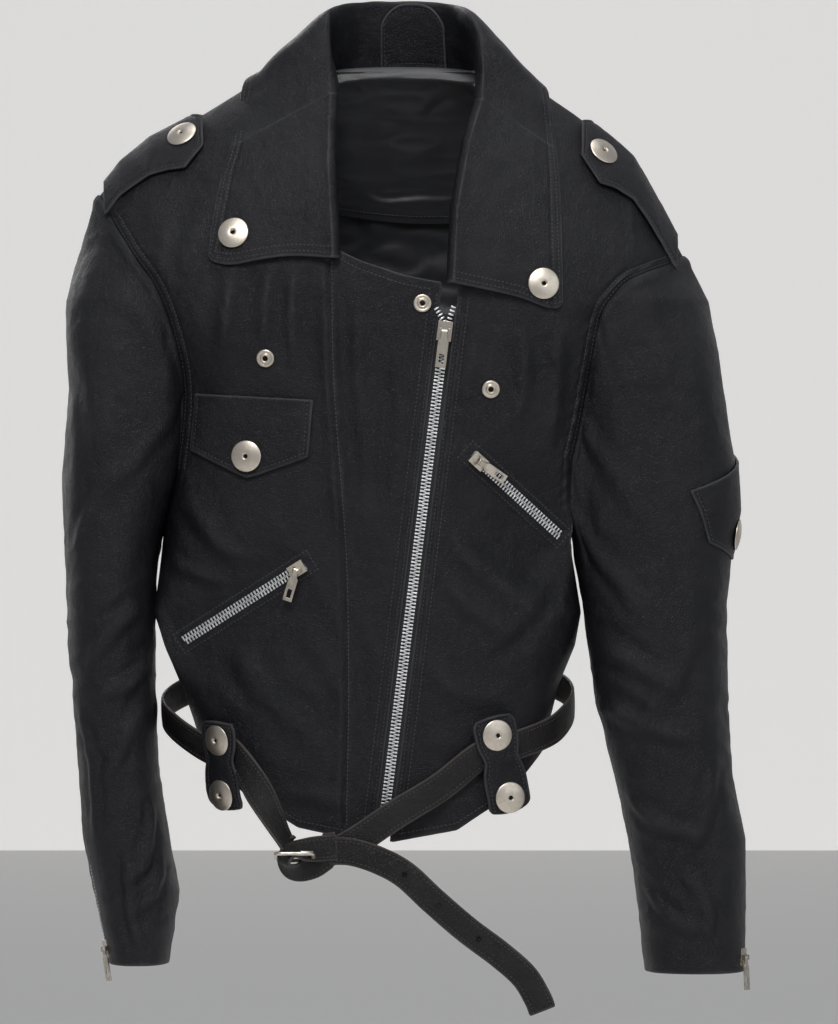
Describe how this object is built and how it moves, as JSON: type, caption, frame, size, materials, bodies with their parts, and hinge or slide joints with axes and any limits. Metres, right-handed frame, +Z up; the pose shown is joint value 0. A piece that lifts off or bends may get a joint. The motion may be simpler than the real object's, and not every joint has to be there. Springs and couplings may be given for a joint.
{
  "type": "leather riding jacket",
  "caption": "Black leather riding jacket, hung and zipped: slanted front zip, snap-down lapels, epaulettes, flap and zip pockets, cuff zips and a buckled waist belt",
  "frame": {"origin": "hanger seat at the middle of the back neck, where the hanger or the hang loop carries the jacket", "axes": "+Z up along the hung jacket, +X to the wearer's left, +Y from the front to the back"},
  "size_m": [0.5802, 0.2309, 0.8744],
  "materials": {
    "leather": "soft black grained leather, low sheen, worn lighter on its edges",
    "lining": "black satin lining",
    "pad": "felt shoulder pad",
    "zip_tape": "black woven zip tape",
    "zip_teeth": "bright aluminium zip teeth",
    "nickel": "satin nickel press studs, sliders and buckle"
  },
  "bodies": {
    "jacket": {"back_panel": "leather", "front_panel_right": "leather", "front_panel_left": "leather", "lining": "lining", "collar": "leather", "hang_loop": "leather", "shoulder_pad_right": "pad", "shoulder_pad_left": "pad", "main_zip_tape": "zip_tape", "main_zip_teeth": "zip_teeth", "main_zip_box": "zip_teeth", "side_pocket_tape": "zip_tape", "side_pocket_teeth": "zip_teeth", "chest_pocket_tape": "zip_tape", "chest_pocket_teeth": "zip_teeth", "fly_stud": "nickel", "chest_stud_right": "nickel", "chest_stud_left": "nickel", "belt_tab_foot_right": "leather", "belt_tab_foot_left": "leather", "belt_foot_cap_right": "nickel", "belt_foot_cap_left": "nickel", "belt": "leather", "belt_keeper": "leather"},
    "right_sleeve": {"sleeve_right": "leather", "sleeve_lining_right": "lining", "cuff_zip_right": "zip_teeth"},
    "left_sleeve": {"sleeve_left": "leather", "sleeve_lining_left": "lining", "cuff_zip_left": "zip_teeth"},
    "right_cuff_slider": {"cuff_slider_right": "nickel"},
    "right_cuff_pull": {"cuff_pull_right": "nickel"},
    "left_cuff_slider": {"cuff_slider_left": "nickel"},
    "left_cuff_pull": {"cuff_pull_left": "nickel"},
    "zip_slider": {"main_slider": "nickel"},
    "zip_pull": {"main_pull": "nickel"},
    "side_slider": {"side_pocket_slider": "nickel"},
    "side_pull": {"side_pocket_pull": "nickel"},
    "chest_slider": {"chest_pocket_slider": "nickel"},
    "chest_pull": {"chest_pocket_pull": "nickel"},
    "pocket_flap": {"chest_flap": "leather", "chest_flap_cap": "nickel"},
    "arm_flap": {"sleeve_flap": "leather", "sleeve_flap_cap": "nickel"},
    "right_epaulette": {"epaulette_right": "leather", "epaulette_cap_right": "nickel"},
    "left_epaulette": {"epaulette_left": "leather", "epaulette_cap_left": "nickel"},
    "right_lapel": {"lapel_right": "leather", "lapel_cap_right": "nickel"},
    "left_lapel": {"lapel_left": "leather", "lapel_cap_left": "nickel"},
    "right_tab": {"belt_tab_right": "leather", "belt_tab_cap_right": "nickel"},
    "left_tab": {"belt_tab_left": "leather", "belt_tab_cap_left": "nickel"},
    "tail": {"belt_tail": "leather"},
    "buckle": {"buckle_frame": "nickel"},
    "prong": {"buckle_prong": "nickel"}
  },
  "joints": [
    {"name": "right_sleeve_lift", "type": "hinge", "parent": "jacket", "child": "right_sleeve", "pos_m": [-0.262, 0, -0.135], "axis": [0, 1, 0], "range_deg": [0, 25]},
    {"name": "left_sleeve_lift", "type": "hinge", "parent": "jacket", "child": "left_sleeve", "pos_m": [0.2395, 0, -0.187], "axis": [0, -1, 0], "range_deg": [0, 25]},
    {"name": "zip_travel", "type": "slide", "parent": "jacket", "child": "zip_slider", "axis": [-0.1234, 0.0524, -0.991], "range_m": [0, 0.3977]},
    {"name": "zip_pull_swing", "type": "hinge", "parent": "zip_slider", "child": "zip_pull", "pos_m": [0.03342, -0.10658, -0.25369], "axis": [-0.9923, 0, 0.1236], "range_deg": [0, 150]},
    {"name": "side_zip_travel", "type": "slide", "parent": "jacket", "child": "side_slider", "axis": [-0.8048, 0.307, -0.5079], "range_m": [0, 0.111]},
    {"name": "side_pull_swing", "type": "hinge", "parent": "side_slider", "child": "side_pull", "pos_m": [-0.09136, -0.09245, -0.45365], "axis": [-0.9267, 0.1978, 0.3196], "range_deg": [0, 120]},
    {"name": "chest_zip_travel", "type": "slide", "parent": "jacket", "child": "chest_slider", "axis": [0.6889, 0.3677, -0.6246], "range_m": [0, 0.0919]},
    {"name": "chest_pull_swing", "type": "hinge", "parent": "chest_slider", "child": "chest_pull", "pos_m": [0.06256, -0.0962, -0.36294], "axis": [-0.5844, 0.044, -0.8103], "range_deg": [0, 120]},
    {"name": "right_cuff_travel", "type": "slide", "parent": "right_sleeve", "child": "right_cuff_slider", "axis": [0.1923, -0.0187, -0.9812], "range_m": [-0.0625, 0]},
    {"name": "right_cuff_pull_swing", "type": "hinge", "parent": "right_cuff_slider", "child": "right_cuff_pull", "pos_m": [-0.25419, -0.05411, -0.77441], "axis": [-0.5037, 0.8562, -0.115], "range_deg": [0, 120]},
    {"name": "left_cuff_travel", "type": "slide", "parent": "left_sleeve", "child": "left_cuff_slider", "axis": [-0.0001, -0.0162, -0.9999], "range_m": [-0.091, 0]},
    {"name": "left_cuff_pull_swing", "type": "hinge", "parent": "left_cuff_slider", "child": "left_cuff_pull", "pos_m": [0.28786, -0.05308, -0.78146], "axis": [-0.507, -0.8618, 0.014], "range_deg": [0, 120]},
    {"name": "pocket_flap_lift", "type": "hinge", "parent": "jacket", "child": "pocket_flap", "pos_m": [-0.078, -0.10179, -0.3115], "axis": [-0.9981, 0, 0.0617], "range_deg": [0, 100]},
    {"name": "arm_flap_lift", "type": "hinge", "parent": "left_sleeve", "child": "arm_flap", "pos_m": [0.27883, -0.04557, -0.371], "axis": [-0.3296, -0.8835, -0.3328], "range_deg": [0, 80]},
    {"name": "right_epaulette_lift", "type": "hinge", "parent": "jacket", "child": "right_epaulette", "pos_m": [-0.2524, -0.009, -0.13565], "axis": [0.0607, -0.7895, -0.6108], "range_deg": [0, 35]},
    {"name": "left_epaulette_lift", "type": "hinge", "parent": "jacket", "child": "left_epaulette", "pos_m": [0.2274, -0.01, -0.18038], "axis": [0.0567, 0.7945, 0.6046], "range_deg": [0, 35]},
    {"name": "right_lapel_lift", "type": "hinge", "parent": "jacket", "child": "right_lapel", "pos_m": [-0.0605, -0.1035, -0.12], "axis": [0, 0, 1], "range_deg": [0, 8]},
    {"name": "left_lapel_lift", "type": "hinge", "parent": "jacket", "child": "left_lapel", "pos_m": [0.0405, -0.1065, -0.14], "axis": [0, 0, -1], "range_deg": [0, 8]},
    {"name": "right_tab_lift", "type": "hinge", "parent": "jacket", "child": "right_tab", "pos_m": [-0.15617, -0.05814, -0.63191], "axis": [0.7476, -0.6609, -0.0661], "range_deg": [0, 85]},
    {"name": "left_tab_lift", "type": "hinge", "parent": "jacket", "child": "left_tab", "pos_m": [0.08588, -0.07901, -0.63297], "axis": [0.9147, 0.3238, 0.2418], "range_deg": [0, 85]},
    {"name": "tail_swing", "type": "hinge", "parent": "jacket", "child": "tail", "pos_m": [-0.046, -0.1004, -0.693], "axis": [0, 1, 0], "range_deg": [-12, 25]},
    {"name": "buckle_tilt", "type": "hinge", "parent": "jacket", "child": "buckle", "pos_m": [-0.092, -0.107, -0.6897], "axis": [1, 0, 0], "range_deg": [-8, 8]},
    {"name": "prong_lift", "type": "hinge", "parent": "buckle", "child": "prong", "pos_m": [-0.0745, -0.11708, -0.69004], "axis": [0, 0.9553, -0.2955], "range_deg": [0, 90]}
  ]
}
